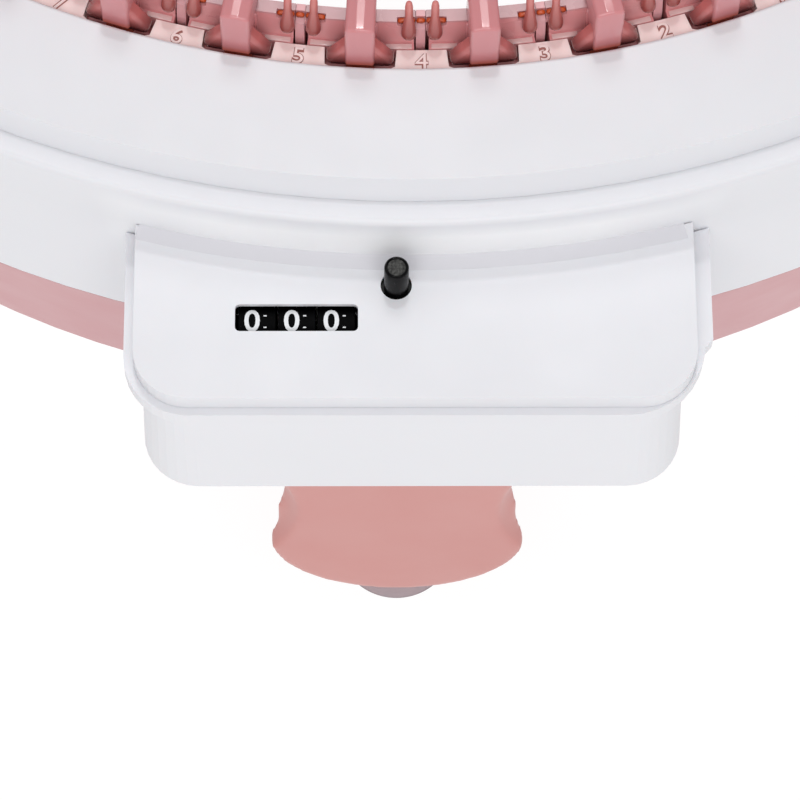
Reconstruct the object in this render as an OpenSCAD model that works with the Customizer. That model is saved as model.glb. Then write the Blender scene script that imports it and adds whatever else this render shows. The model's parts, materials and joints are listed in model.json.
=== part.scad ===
// Circular hand-crank knitting machine, front of the counter box towards -Y.
// Origin: ring axis at the underside of the base shell. +Z up, millimetres.
// Azimuth 0 is +X, the front is azimuth -90.

/* [Ring] */
// Radius of the cover's inner edge
cover_r = 139.8; // [139.5:0.1:141]
// Height of the cover's inner edge above the base underside
cover_h = 90; // [89.9:0.1:92]
// Outer radius of the base shell at its underside
base_r = 151.6; // [150:0.1:153]
// Outer radius of the base shell at its top
base_top_r = 161.2; // [160.5:0.1:161.4]
// Height of the base shell
base_h = 42; // [40:0.5:44]
// Radius of the through opening for the knitted tube
opening_r = 124; // [110:1:125]

/* [Needle bed] */
// Number of needles
needle_count = 48; // [48:1:48]
// How far needle number 4 is turned from the front, in degrees
bed_turn = 0.7; // [0:0.1:2]
// Travel of a needle from its low place to its high place
needle_travel = 20; // [10:1:24]
// Width of a fin
fin_w = 4.35; // [3.5:0.05:4.6]
// Height of a fin's front face
fin_h = 9.2; // [9:0.2:12]

/* [Counter] */
// How far the counter's middle stands to the right of the ring axis
box_x = 0.7; // [0:0.1:1]
// Width of the counter lid
lid_w = 82.4; // [80:0.1:84]
// Distance from the ring axis to the lid's front edge
lid_front = 184.6; // [182:0.1:186]
// Height of the lid's top
lid_z = 72.5; // [72:0.1:74]
// Width of the number window
window_w = 18; // [17.6:0.1:19]
// Depth of the number window
window_d = 4.3; // [3.8:0.1:4.4]
// Distance between two digit wheels
wheel_pitch = 5.8; // [5.7:0.1:6]
// Radius of the reset button
button_r = 1.8; // [1.5:0.05:1.9]
// Travel of the reset button
button_travel = 3; // [1:0.5:3]

/* [Legs] */
// Depth from the base underside down to the table
leg_drop = 50; // [48:1:56]
// Distance from the ring axis to a leg's outer face
leg_r = 170; // [168:0.5:172]
// Widest width of a leg
leg_w = 43; // [42:0.2:45]
// Radius of a suction cup
cup_r = 10; // [9:0.1:12]

/* [Crank] */
// Length of the crank arm between its two axes
crank_len = 70; // [50:1:80]
// Teeth of the drum's crown gear
crown_teeth = 160; // [160:1:160]
// Teeth of the crank pinion
pinion_teeth = 16; // [16:1:16]

/* [Hidden] */
$fn = 96;
gap = 0.05;                         // running clearance on a radius
pitch = 360 / needle_count;
front = -90;
bed_z = cover_h;                    // heights of the bed count from the cover's inner edge

// cover and outer housing
cover_t = 2;
cover_out_r = 158.7;
cover_bevel_r = 157.6;
cover_drop = 0.8;
ledge_z = cover_h - 5.8;
ledge_r = 162.3;
ledge_in_r = 152.5;
wall_r = 161.6;
wall_t = 2.4;

// rotating drum
drum_in_r = 130;
drum_r = 134.4;
drum_low = 12;
drum_top = bed_z + 3.85;
ledge_top_r = 132.4;
flange_r = 150.5;
flange_z = bed_z - 10.6;
flange_t = 3;
slot_w = 2.15;
slot_r = 132.2;
slot_low = 20;
slot_top = bed_z + 1.6;             // above this the slot is only as wide as a needle
notch_w = 7.2;
notch_d = 0.85;
notch_h = 1.1;
lip_r = 136;
lip_low = bed_z - 4.35;
lip_top = bed_z - 1.5;
wall_lean = 0.6;                    // how far the wall leans out from its top to the lip
finger_y = 1.9;
finger_t = 1.25;

// fins and number plates
fin_in_r = 131.3;
fin_front_r = 139.1;
fin_low = bed_z - 1;
fin_ring_z = flange_z + flange_t + 0.1;
fin_ring_t = 2.9;
plate_r = lip_r + 0.1;
plate_out_r = 141.8;
plate_z = bed_z - 4.3;
plate_t = 1.8;
plate_rise = 0.9;                   // how far the plates stand above their ring
plate_edge_r = cover_r - 0.2;
wing_w = 5;
root_w = 6.3;

// needles
needle_w = 1.35;
needle_y = -0.15;
butt_z = 42;
butt_h = 4;
butt_r = 139;
free_needles = [2, 3, 4, 5, 6, 7];

// cam and glide rings
cam_in_r = 136.5;
cam_out_r = 141.5;
lift_in_r = butt_r + 0.3;
feeder_a = 60;                      // azimuth of the yarn feeder and the lift cam

// crown gear and pinion
crown_in_r = 142.5;
crown_out_r = 149.5;
crown_mid_r = (crown_in_r + crown_out_r) / 2;
tooth_pitch = 2 * PI * crown_mid_r / crown_teeth;
pinion_r = crown_mid_r * pinion_teeth / crown_teeth;
crown_z = flange_z - 3.4;           // root plane of the crown teeth
tooth_h = 3;
crank_z = crown_z - 1.4 - pinion_r;
shaft_r = 3;
crank_x = 178;

// counter
box_w = lid_w - 1.4;
box_front = lid_front - 1.2;
box_low = 36;
floor_w = box_w + 1.6;              // the side walls lean out towards the floor
top_left = box_w / 2 - 0.3;
top_right = box_w / 2 - 1;
rim_w = lid_w + 3.1;
rim_front = lid_front + 1.2;
rim_low = 66.1;
tab_w = 1.1;
lid_t = 3.4;
lid_low = lid_z - lid_t;
lid_skin = 0.7;                     // what is left of the lid around the window
box_wall = 2.2;
box_back_r = wall_r + 0.15;
window_x = box_x - 17.35;
window_y = -171.75;
wheel_r = 7;
wheel_w = 5.4;
wheel_z = lid_z - 1.2 - wheel_r;
axle_r = 1.2;
frame_low = wheel_z - 9.6;
pinion2_y = window_y + 7.5;
pinion2_z = wheel_z - 6.7;
pinion2_r = 2.6;
button_x = box_x - 2.75;
button_y = -166.55;
button_top = lid_z + 6.3;
button_low = lid_z - 3.3;
spring_low = box_low + box_wall + 15.9;
spring_turns = 7;
lever_y = -170;
lever_z = 65.9;

// fasteners
screw_r = 1.5;
hole_r = 1.6;
boss_ring_r = 146;
boss_angles = [30, 75, 105, 150, 210, 248, 292, 330];

// legs
leg_angles = [-90.35, 0, 90, 180];
cup_ring_r = leg_r - cup_r - 0.5;
cup_h = 5.7;                        // height of a cup under its leg
leg_screw_r = 140;

// Angle of needle number n
function needle_a(n) = front + bed_turn - (n - 4) * pitch;
// Points of an arc about c from angle a to b
function arc(c, r, a, b, n = 8) = [for (i = [0:n]) c + r * [cos(a + (b - a) * i / n),
                                                            sin(a + (b - a) * i / n)]];

// Ring about the Z axis
module ring(r_in, r_out, z0, z1) {
    translate([0, 0, z0])
        difference() {
            cylinder(r = r_out, h = z1 - z0);
            translate([0, 0, -1]) cylinder(r = r_in, h = z1 - z0 + 2);
        }
}

// Cylinder along X that starts at x
module rod_x(r, x, len, y = 0, z = 0) {
    translate([x, y, z]) rotate([0, 90, 0]) cylinder(r = r, h = len);
}

// Box given by its radial, tangential and vertical extents, at one azimuth
module bar(a, r0, r1, w, z0, z1) {
    rotate([0, 0, a]) translate([r0, -w / 2, z0]) cube([r1 - r0, w, z1 - z0]);
}

// Outline of the counter box: two rounded front corners, open towards the ring
function box_outline(left, right, y_front, r_left, r_right) = concat(
    arc([box_x - left + r_left, -y_front + r_left], r_left, 180, 270),
    arc([box_x + right - r_right, -y_front + r_right], r_right, 270, 360),
    [[box_x + right, -145], [box_x - left, -145]]);

// Plate of that outline, its back cut to the ring wall
module box_slab(w, y_front, r_left, r_right, z0, z1) {
    translate([0, 0, z0])
        linear_extrude(height = z1 - z0)
            difference() {
                polygon(box_outline(w / 2, w / 2, y_front, r_left, r_right));
                circle(r = box_back_r);
            }
}

// ---------------------------------------------------------------- housing

module base_shell() {
    color([0.83, 0.65, 0.65])
        difference() {
            union() {
                rotate_extrude()
                    polygon([[opening_r, 0], [base_r, 0], [base_top_r, base_h],
                             [base_top_r - 2.6, base_h], [base_r - 2.3, 3],
                             [opening_r + 3, 3], [opening_r + 3, 50], [opening_r, 50]]);
                for (a = boss_angles)
                    rotate([0, 0, a]) translate([boss_ring_r, 0, 2]) cylinder(r = 4.2, h = base_h - 2);
            }
            for (a = boss_angles)
                rotate([0, 0, a]) translate([boss_ring_r, 0, -1]) {
                    cylinder(r = 3, h = 31);
                    cylinder(r = hole_r, h = base_h + 2);
                }
            for (a = leg_angles, s = [-1, 1])
                rotate([0, 0, a]) translate([leg_screw_r, s * 9, -1]) cylinder(r = hole_r, h = 6);
        }
}

module outer_housing() {
    color([0.91, 0.91, 0.92])
        difference() {
            union() {
                rotate_extrude()
                    polygon(concat(
                        [[base_top_r - wall_t, base_h + 0.1], [base_top_r, base_h + 0.1],
                         [wall_r, 72]],
                        arc([ledge_r - 1, ledge_z - 1], 1, 0, 90),
                        [[ledge_in_r, ledge_z], [ledge_in_r, ledge_z - 2.4],
                         [wall_r - wall_t, ledge_z - 2.4]]));
                for (a = boss_angles) {
                    rotate([0, 0, a]) translate([boss_ring_r, 0, base_h + 0.1]) cylinder(r = 4, h = 14);
                    bar(a, boss_ring_r + 2, wall_r - 1.6, 3, base_h + 0.1, base_h + 14.1);
                }
            }
            for (a = boss_angles)
                rotate([0, 0, a]) translate([boss_ring_r, 0, base_h - 1]) cylinder(r = hole_r, h = 13);
            bar(front, 155, 166, 40, lever_z - 1.5, lever_z + 4.5);
            rod_x(6.05, 150, 20, z = crank_z);
        }
}

module top_cover() {
    color([0.91, 0.91, 0.92])
        difference() {
            rotate_extrude()
                polygon(concat(
                    [[cover_r, cover_h - cover_t + 0.4]],
                    arc([cover_r + 0.6, cover_h - 0.6], 0.6, 180, 92, 4),
                    [[cover_bevel_r, cover_h - cover_drop], [cover_out_r, ledge_z + 0.1],
                     [cover_out_r - 3, ledge_z + 0.1],
                     [cover_out_r - 3.6, cover_h - cover_drop - cover_t],
                     [cover_r + 0.4, cover_h - cover_t]]));
            rotate([0, 0, -40]) translate([149, 0, cover_h - 5]) cylinder(r = 2.6, h = 10);
        }
}

// Flat race under the needle butts
module cam_track() {
    color([0.72, 0.72, 0.74]) ring(cam_in_r, cam_out_r, 3.05, butt_z - 0.1);
}

// Hump that raises the needles beside the yarn feeder
module lift_cam() {
    color([0.72, 0.72, 0.74])
        intersection() {
            ring(lift_in_r, cam_out_r, butt_z - 0.1, butt_z + needle_travel);
            rotate([0, 0, feeder_a]) translate([cam_out_r + 4, 0, butt_z])
                rotate([90, 0, -90])
                    linear_extrude(height = 20)
                        polygon([[-42, -0.2], [42, -0.2], [10, needle_travel], [-10, needle_travel]]);
        }
}

module glide_ring() {
    color([0.88, 0.88, 0.86]) ring(drum_in_r - 1, drum_r - 0.4, 3.05, drum_low - gap);
}

module housing_screws() {
    color("silver")
        for (a = boss_angles)
            rotate([0, 0, a]) translate([boss_ring_r, 0, 0]) {
                translate([0, 0, 27.4]) cylinder(r = 2.7, h = 2.5);
                translate([0, 0, 29.5]) cylinder(r = screw_r, h = 22);
            }
}

// ---------------------------------------------------------------- legs

// One leg at azimuth a: a side view, a front view and a plan that cut each other
module leg(a) {
    low = cup_h + 0.1 - leg_drop;
    color([0.82, 0.60, 0.58])
        rotate([0, 0, a])
            difference() {
                intersection() {
                    rotate([90, 0, 0])
                        linear_extrude(height = leg_w + 2, center = true) leg_side(low);
                    translate([leg_r + 1, 0, 0])
                        rotate([90, 0, -90])
                            linear_extrude(height = 60) leg_front_view(low);
                    translate([0, 0, low - 1])
                        linear_extrude(height = 20 - low) leg_plan();
                }
                leg_scoop();
                mirror([0, 1, 0]) leg_scoop();
                translate([cup_ring_r, 0, low - 1]) cylinder(r = 2.6, h = 9);
                for (s = [-1, 1])
                    translate([leg_screw_r, s * 9, -13]) cylinder(r = hole_r, h = 14);
                for (s = [-1, 1])
                    translate([leg_screw_r, s * 9, -40]) cylinder(r = 3.2, h = 34);
            }
}

// Radius across, height up: seat under the base, rounded shoulder, upright face
module leg_side(low) {
    polygon(concat(
        [[129, -0.1], [base_r + 0.1, -0.1], [base_r + 3.1, 12.6], [base_r + 5, 14.4]],
        arc([leg_r - 8, 7], 8, 62, 0),
        [[leg_r, low], [146, low], [134, -16], [129, -6]]));
}

// Waisted sides over a round lower edge that reaches down to low
module leg_front_view(low) {
    half = leg_w / 2;
    waist = half - 2.95;
    waist_z = -4.3;
    waist_r = 22;
    round_z = -21.5;
    polygon(concat(
        [[-waist - 0.4, 16]],
        arc([-waist - waist_r, waist_z], waist_r, 10, -24),
        [for (t = [172:7:368]) [half * cos(t), round_z + (round_z - low) * sin(t)]],
        arc([waist + waist_r, waist_z], waist_r, 204, 170),
        [[waist + 0.4, 16]]));
}

// Drawn in behind the lobes of the outer face, from the inner end outwards
module leg_plan() {
    half = concat([[128, 15], [154, leg_w / 2 - 4]],
                  arc([161, leg_w / 2 + 4.2], 8, 270, 318, 6),
                  [[leg_r - 2.6, leg_w / 2 + 0.1], [leg_r + 0.1, leg_w / 2 + 0.1]]);
    polygon(concat([for (p = half) [p[0], -p[1]]],
                   [for (i = [len(half) - 1:-1:0]) half[i]]));
}

// Slanting scoop that frames one side of the front panel
module leg_scoop() {
    hull() {
        translate([leg_r + 0.1, leg_w / 2 + 25, -8.5]) rotate([0, 90, 0]) cylinder(r = 30, h = 0.1);
        translate([leg_r - 2.9, leg_w / 2 + 34.9, -7]) rotate([0, 90, 0]) cylinder(r = 38, h = 0.1);
    }
}

// One suction cup under the leg at azimuth a
module cup(a) {
    color([0.75, 0.76, 0.77, 0.6])
        rotate([0, 0, a]) translate([cup_ring_r, 0, -leg_drop])
            rotate_extrude()
                polygon([[0, 2.6], [4, 2.2], [cup_r - 1.6, 0], [cup_r, 0], [cup_r, 0.8],
                         [cup_r - 3, 3.2], [4.4, cup_h - 0.1], [2.5, cup_h], [2.5, 13], [0, 13]]);
}

module leg_screws() {
    color("silver")
        for (a = leg_angles, s = [-1, 1])
            rotate([0, 0, a]) translate([leg_screw_r, s * 9, 0]) {
                translate([0, 0, -8.3]) cylinder(r = 2.8, h = 2.2);
                translate([0, 0, -6.2]) cylinder(r = screw_r, h = 8.8);
            }
}

// ---------------------------------------------------------------- counter

module counter_box() {
    color([0.91, 0.91, 0.92])
        difference() {
            union() {
                box_walls();
                box_slab(rim_w, rim_front, 9.5, 12, rim_low, lid_low - 0.1);
                side_tab();
            }
            box_slab(box_w - 2 * box_wall, box_front - box_wall, 5.5, 5.5, box_low + box_wall, lid_z);
            for (p = box_screw_places())
                translate([p[0], p[1], box_low - 1]) cylinder(r = hole_r, h = 5);
        }
    color([0.91, 0.91, 0.92])
        difference() {
            translate([button_x, button_y, box_low + box_wall - 0.1]) cylinder(r = 3.4, h = 15.9);
            translate([button_x, button_y, 44]) cylinder(r = axle_r + gap, h = 20);
        }
}

// Solid block under the rim, wider at the floor than at the top
module box_walls() {
    plate = 0.1;
    difference() {
        hull() {
            translate([0, 0, box_low])
                linear_extrude(height = plate)
                    polygon(box_outline(floor_w / 2, floor_w / 2, box_front, 8.5, 8.5));
            translate([0, 0, rim_low + 1 - plate])
                linear_extrude(height = plate)
                    polygon(box_outline(top_left, top_right, box_front, 7.5, 7.5));
        }
        translate([0, 0, box_low - 1]) cylinder(r = box_back_r, h = rim_low - box_low + 4);
    }
}

// Grip strip along the right side of the rim, its front end chamfered
module side_tab() {
    x = box_x + rim_w / 2;
    translate([0, 0, rim_low])
        linear_extrude(height = lid_low - 0.1 - rim_low)
            difference() {
                polygon([[x - 2, -150], [x + tab_w, -150], [x + tab_w, -173.6], [x, -174.9],
                         [x - 2, -174.9]]);
                circle(r = box_back_r);
            }
}

// Screw places of the counter lid
function box_screw_places() = [[-34, -177], [34, -177], [-34, -168], [34, -168]];

module counter_lid() {
    color([0.91, 0.91, 0.92])
        difference() {
            union() {
                box_slab(lid_w, lid_front, 8, 8, lid_low, lid_z);
                for (p = box_screw_places())
                    translate([p[0], p[1], box_low + box_wall + 0.1])
                        cylinder(r = 3, h = lid_low - box_low - box_wall);
            }
            translate([window_x, window_y, lid_low - 1])
                linear_extrude(height = lid_t + 2)
                    window_outline();
            translate([button_x, button_y, lid_low - 1]) cylinder(r = 2.3, h = lid_t + 2);
            translate([button_x, button_y, lid_low - 1]) cylinder(r = 3.4, h = 3.2);
            translate([window_x, window_y, lid_low - 1])
                linear_extrude(height = lid_t + 1 - lid_skin)
                    square([3 * wheel_pitch + 4.6, 11.5], center = true);
            for (p = box_screw_places())
                translate([p[0], p[1], box_low]) cylinder(r = hole_r, h = 16);
        }
}

// Window with rounded corners
module window_outline() {
    w = window_w / 2;
    d = window_d / 2;
    r = 0.7;
    polygon(concat(arc([w - r, d - r], r, 0, 90, 4), arc([r - w, d - r], r, 90, 180, 4),
                   arc([r - w, r - d], r, 180, 270, 4), arc([w - r, r - d], r, 270, 360, 4)));
}

module box_screws() {
    color("silver")
        for (p = box_screw_places())
            translate([p[0], p[1], 0]) {
                translate([0, 0, box_low - 1.8]) cylinder(r = 2.7, h = 1.8);
                translate([0, 0, box_low - 0.5]) cylinder(r = screw_r, h = 14);
            }
}

// Bracket that holds both counter shafts
module counter_frame() {
    span = 3 * wheel_pitch + 1;
    color([0.08, 0.08, 0.09])
        difference() {
            union() {
                for (s = [-1, 1])
                    translate([window_x + s * (span / 2 + 0.75), window_y + 1.5, (frame_low + wheel_z + 3) / 2])
                        cube([1.5, 15, wheel_z + 3 - frame_low], center = true);
                translate([window_x, window_y + 1.5, frame_low - 0.7])
                    cube([span + 3, 15, 1.5], center = true);
                for (s = [-1, 1])
                    translate([window_x + s * 7, window_y + 1.5, (frame_low + box_low + box_wall) / 2 - 0.35])
                        cube([3, 8, frame_low - box_low - box_wall - 0.8], center = true);
            }
            rod_x(axle_r, window_x - 20, 40, window_y, wheel_z);
            rod_x(0.8, window_x - 20, 40, pinion2_y, pinion2_z);
        }
}

module counter_axle() {
    color("silver")
        rod_x(axle_r, window_x - 1.5 * wheel_pitch - 2.4, 3 * wheel_pitch + 4.8, window_y, wheel_z);
}

// Digit wheel number i, counted from the left
module digit_wheel(i) {
    color([0.06, 0.06, 0.07])
        translate([window_x + (i - 1) * wheel_pitch, window_y, wheel_z])
            rotate([0, 90, 0])
                difference() {
                    cylinder(r = wheel_r, h = wheel_w, center = true);
                    cylinder(r = axle_r + gap, h = wheel_w + 2, center = true);
                    for (s = [-1, 1])
                        translate([0, 0, s * wheel_w / 2])
                            difference() {
                                cylinder(r = wheel_r - 1, h = 2, center = true);
                                cylinder(r = 2.4, h = 3, center = true);
                            }
                }
}

module transfer_shaft() {
    color("silver")
        rod_x(0.8, window_x - 1.5 * wheel_pitch - 2, 3 * wheel_pitch + 4, pinion2_y, pinion2_z);
}

// Small carry pinion between wheels i and i + 1
module carry_pinion(i) {
    color([0.85, 0.85, 0.82])
        translate([window_x + (i - 0.5) * wheel_pitch - 1.6, pinion2_y, pinion2_z])
            rotate([0, 90, 0])
                linear_extrude(height = 3.2)
                    difference() {
                        union() {
                            circle(r = pinion2_r - 0.7);
                            for (k = [0:7])
                                rotate(k * 45) translate([pinion2_r - 0.9, 0])
                                    square([1.6, 0.7], center = true);
                        }
                        circle(r = 0.8 + gap);
                    }
}

module reset_button() {
    color([0.09, 0.09, 0.10])
        translate([button_x, button_y, 0])
            union() {
                translate([0, 0, button_low + 1]) cylinder(r = button_r, h = button_top - button_low - 1);
                translate([0, 0, button_low]) cylinder(r = 3, h = 2);
                translate([0, 0, spring_low - 4]) cylinder(r = axle_r, h = button_low - spring_low + 4.5);
            }
}

// Coil spring under the reset button
module reset_spring() {
    ring_n = 60;
    sides = 6;
    wire = 0.28;
    r = 1.9;
    h = button_low - spring_low - 2 * wire - 0.1;
    pts = [for (i = [0:ring_n], k = [0:sides - 1])
        let (t = 360 * spring_turns * i / ring_n, q = 360 * k / sides)
        [(r + wire * cos(q)) * cos(t), (r + wire * cos(q)) * sin(t), h * i / ring_n + wire * sin(q)]];
    sides_f = [for (i = [0:ring_n - 1], k = [0:sides - 1])
        [i * sides + k, i * sides + (k + 1) % sides,
         (i + 1) * sides + (k + 1) % sides, (i + 1) * sides + k]];
    caps = [[for (k = [sides - 1:-1:0]) k], [for (k = [0:sides - 1]) ring_n * sides + k]];
    color("silver")
        translate([button_x, button_y, spring_low + wire + 0.05])
            polyhedron(points = pts, faces = concat([for (f = sides_f) [f[3], f[2], f[1], f[0]]],
                                                    [for (c = caps) [for (k = [sides - 1:-1:0]) c[k]]]));
}

// Lever that a lug on the drum trips once in each turn
module trip_lever() {
    color([0.85, 0.85, 0.82])
        difference() {
            union() {
                translate([12, lever_y, lever_z]) cylinder(r = 3.5, h = 3);
                translate([10.4, lever_y, lever_z]) cube([3.2, 18, 3]);
                translate([4, lever_y - 1.5, lever_z]) cube([8, 3, 3]);
            }
            translate([12, lever_y, lever_z - 1]) cylinder(r = screw_r + gap, h = 5);
        }
}

module lever_pin() {
    color("silver")
        translate([12, lever_y, box_low + box_wall]) cylinder(r = screw_r, h = lid_low - 0.1 - box_low - box_wall);
}

// ---------------------------------------------------------------- crank

module crank_bushing() {
    color([0.91, 0.91, 0.92])
        translate([0, 0, crank_z])
            difference() {
                union() {
                    rod_x(6, 157, 8);
                    rod_x(11, wall_r + 0.6, 6.4);
                }
                rod_x(shaft_r + gap, 150, 30);
            }
}

// Pillar on the base floor that holds the shaft's inner end
module shaft_bracket() {
    color([0.72, 0.72, 0.74])
        difference() {
            union() {
                translate([151.2, -5, 30]) cube([4.3, 10, crank_z - 30]);
                rod_x(6, 151.2, 4.3, z = crank_z);
                translate([143, -5, 3.05]) cube([6, 10, 28]);
                translate([143, -5, 30]) cube([12.5, 10, 4]);
            }
            rod_x(shaft_r + gap, 150, 30, z = crank_z);
        }
}

module crank_shaft() {
    color("silver")
        rod_x(shaft_r, 142.6, crank_x + 3 - 142.6, z = crank_z);
}

// Spur pinion that meshes with the crown teeth above it
module crank_pinion() {
    root_r = pinion_r - 1.75;
    tip_r = pinion_r + 1.25;
    color([0.88, 0.88, 0.86])
        translate([crown_in_r + 0.3, 0, crank_z])
            rotate([90, 0, 90])
                linear_extrude(height = crown_out_r - crown_in_r - 0.6)
                    difference() {
                        union() {
                            circle(r = root_r);
                            for (k = [0:pinion_teeth - 1])
                                rotate(90 + k * 360 / pinion_teeth)
                                    polygon([[root_r - 1, -1.45], [root_r, -1.38], [pinion_r, -1.03],
                                             [tip_r, -0.6], [tip_r, 0.6], [pinion_r, 1.03],
                                             [root_r, 1.38], [root_r - 1, 1.45]]);
                        }
                        circle(r = shaft_r);
                    }
}

module crank_arm() {
    color([0.91, 0.91, 0.92])
        difference() {
            union() {
                rod_x(10, crank_x - 7, 11, z = crank_z);
                rod_x(7.5, crank_x - 3, 7, z = crank_z + crank_len);
                translate([crank_x - 2, 0, crank_z])
                    rotate([90, 0, 90])
                        linear_extrude(height = 6)
                            polygon([[-8, 0], [8, 0], [6, crank_len], [-6, crank_len]]);
            }
            rod_x(shaft_r, crank_x - 10, 13, z = crank_z);
            rod_x(2.5, crank_x - 10, 30, z = crank_z + crank_len);
        }
}

module crank_pin() {
    color("silver")
        union() {
            rod_x(2.5, crank_x - 3, 47, z = crank_z + crank_len);
            rod_x(4.5, crank_x + 43.2, 2.5, z = crank_z + crank_len);
        }
}

module crank_knob() {
    color([0.83, 0.60, 0.60])
        translate([crank_x + 4.4, 0, crank_z + crank_len])
            rotate([0, 90, 0])
                rotate_extrude()
                    polygon(concat([[2.5 + gap, 0], [7, 0]], arc([2.5, 18], 9, -50, 35, 8),
                                   arc([5.2, 33.2], 7, 10, 90, 6), [[5.2, 40.2], [5.2, 38.5], [2.5 + gap, 38.5]]));
}

// ---------------------------------------------------------------- drum

// Grooved wall that carries the needles, with the flange for the rings on it
module needle_drum() {
    color([0.83, 0.62, 0.62])
        difference() {
            rotate_extrude()
                polygon([[drum_in_r, drum_low], [drum_r, drum_low], [drum_r, flange_z],
                         [flange_r, flange_z], [flange_r, flange_z + flange_t],
                         [drum_r, flange_z + flange_t], [drum_r, lip_low],
                         [lip_r, lip_low], [lip_r, lip_top], [drum_r + wall_lean, lip_top],
                         [drum_r, drum_top], [ledge_top_r, drum_top], [drum_in_r, drum_top - 8]]);
            for (n = [1:needle_count]) {
                bar(needle_a(n), slot_r, drum_r + 0.1, slot_w, slot_low, slot_top);
                bar(needle_a(n), drum_r - 0.5, lip_r + 0.1, slot_w, lip_low - 0.1, slot_top);
                bar(needle_a(n), drum_r - notch_d, drum_r + 1, notch_w, drum_top - notch_h, drum_top + 1);
                rotate([0, 0, needle_a(n)]) translate([0, needle_y, 0])
                    bar(0, slot_r, drum_r + 1, needle_w + 0.15, slot_top - 1, drum_top + 1);
            }
        }
}

// Radius of the leaning wall at height z
function wall_at(z) = drum_r + wall_lean * (drum_top - z) / (drum_top - lip_top);

// Side view of one yarn finger
module finger_side() {
    low = bed_z + 0.3;
    polygon(concat([[wall_at(low) + 0.05, low], [drum_r + 1.8, low + 0.4], [drum_r + 1.9, low + 1.8],
                    [drum_r + 0.3, bed_z + 8]],
                   arc([drum_r - 0.5, bed_z + 8.2], 0.65, 10, 180, 6),
                   [[drum_r - 1.3, drum_top + 0.05], [drum_r + 0.05, drum_top + 0.05]]));
}

// Two fingers beside each needle
module guide_fingers() {
    color([0.80, 0.52, 0.50])
        for (n = [1:needle_count], s = [-1, 1])
            rotate([0, 0, needle_a(n)]) translate([0, s * finger_y, 0])
                rotate([90, 0, 0])
                    linear_extrude(height = finger_t, center = true) finger_side();
}

// Plain ring that the fins stand on
module fin_ring() {
    color([0.82, 0.56, 0.56]) ring(drum_r + 0.2, 141, fin_ring_z, fin_ring_z + fin_ring_t);
}

// Tall fins between the needles, each with a root on the wall and a gusset on either side
module fins() {
    for (n = [1:needle_count])
        rotate([0, 0, needle_a(n) + pitch / 2]) fin();
}

module fin() {
    top = fin_low + fin_h;
    foot = fin_ring_z + fin_ring_t;
    seat = lip_top + 0.1;
    half = fin_w / 2;
    color([0.82, 0.56, 0.56])
        union() {
            rotate([90, 0, 0])
                linear_extrude(height = fin_w, center = true)
                    polygon(concat(
                        [[lip_r + 0.1, foot], [fin_front_r - 1.4, foot],
                         [fin_front_r - 1.4, fin_low - 0.6], [fin_front_r, fin_low]],
                        arc([fin_front_r - 1.2, top - 1.2], 1.2, 0, 80, 4),
                        arc([fin_in_r + 2, top - 1], 2, 95, 180, 5),
                        [[fin_in_r, drum_top + 0.1], [drum_r + 0.1, drum_top + 0.1],
                         [wall_at(seat) + 0.1, seat], [lip_r + 0.1, seat]]));
            rotate([90, 0, 0])
                linear_extrude(height = root_w, center = true)
                    polygon([[wall_at(seat) + 0.1, seat], [wall_at(seat) + 0.7, seat],
                             [drum_r + 0.6, drum_top - 0.1], [drum_r + 0.1, drum_top - 0.1]]);
            translate([fin_front_r - 0.5, 0, bed_z])
                rotate([90, 0, -90])
                    linear_extrude(height = 2.1)
                        polygon([[-wing_w, -0.9], [-wing_w, -1.5], [-4.5, -2.2], [-3.2, -2.3], [-half, -2.6],
                                 [half, -2.6], [3.2, -2.3], [4.5, -2.2], [wing_w, -1.5], [wing_w, -0.9],
                                 [half, 3.4], [-half, 3.4]]);
        }
}

// Number plates, joined in one ring that runs under the cover
module number_ring() {
    color([0.88, 0.74, 0.74])
        difference() {
            union() {
                ring(plate_r, plate_out_r, plate_z, plate_z + plate_t);
                ring(plate_r, plate_edge_r, plate_z, plate_z + plate_t + plate_rise);
            }
            for (n = [1:needle_count])
                rotate([0, 0, needle_a(n) + pitch / 2])
                    translate([0, 0, plate_z - 1])
                        linear_extrude(height = plate_t + 3)
                            polygon([[plate_r - 1, -5.3], [138.75, -5.15], [139.9, -3],
                                     [139.9, 3], [138.75, 5.15], [plate_r - 1, 5.3]]);
        }
}

// Crown gear under the flange
module drum_gear() {
    half = 0.185 * 360 / crown_teeth;
    color([0.88, 0.88, 0.86])
        union() {
            ring(drum_r + 3, flange_r, crown_z, flange_z - 0.05);
            translate([0, 0, crown_z - tooth_h])
                linear_extrude(height = tooth_h + 0.5)
                    for (k = [0:crown_teeth - 1])
                        rotate((k + 0.5) * 360 / crown_teeth)
                            polygon([[crown_in_r, -crown_in_r * sin(half)],
                                     [crown_out_r, -crown_out_r * sin(half)],
                                     [crown_out_r, crown_out_r * sin(half)],
                                     [crown_in_r, crown_in_r * sin(half)]]);
        }
}

// Lug that trips the row counter
module row_lug() {
    color([0.88, 0.88, 0.86]) bar(135, flange_r, flange_r + 3, 5, lever_z + 0.6, flange_z + flange_t - 1);
}

// Elastic band that keeps the needles in their grooves
module needle_band() {
    color([0.2, 0.2, 0.2])
        translate([0, 0, 31]) rotate_extrude() translate([drum_r + 0.7, 0]) circle(r = 0.55);
}

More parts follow.
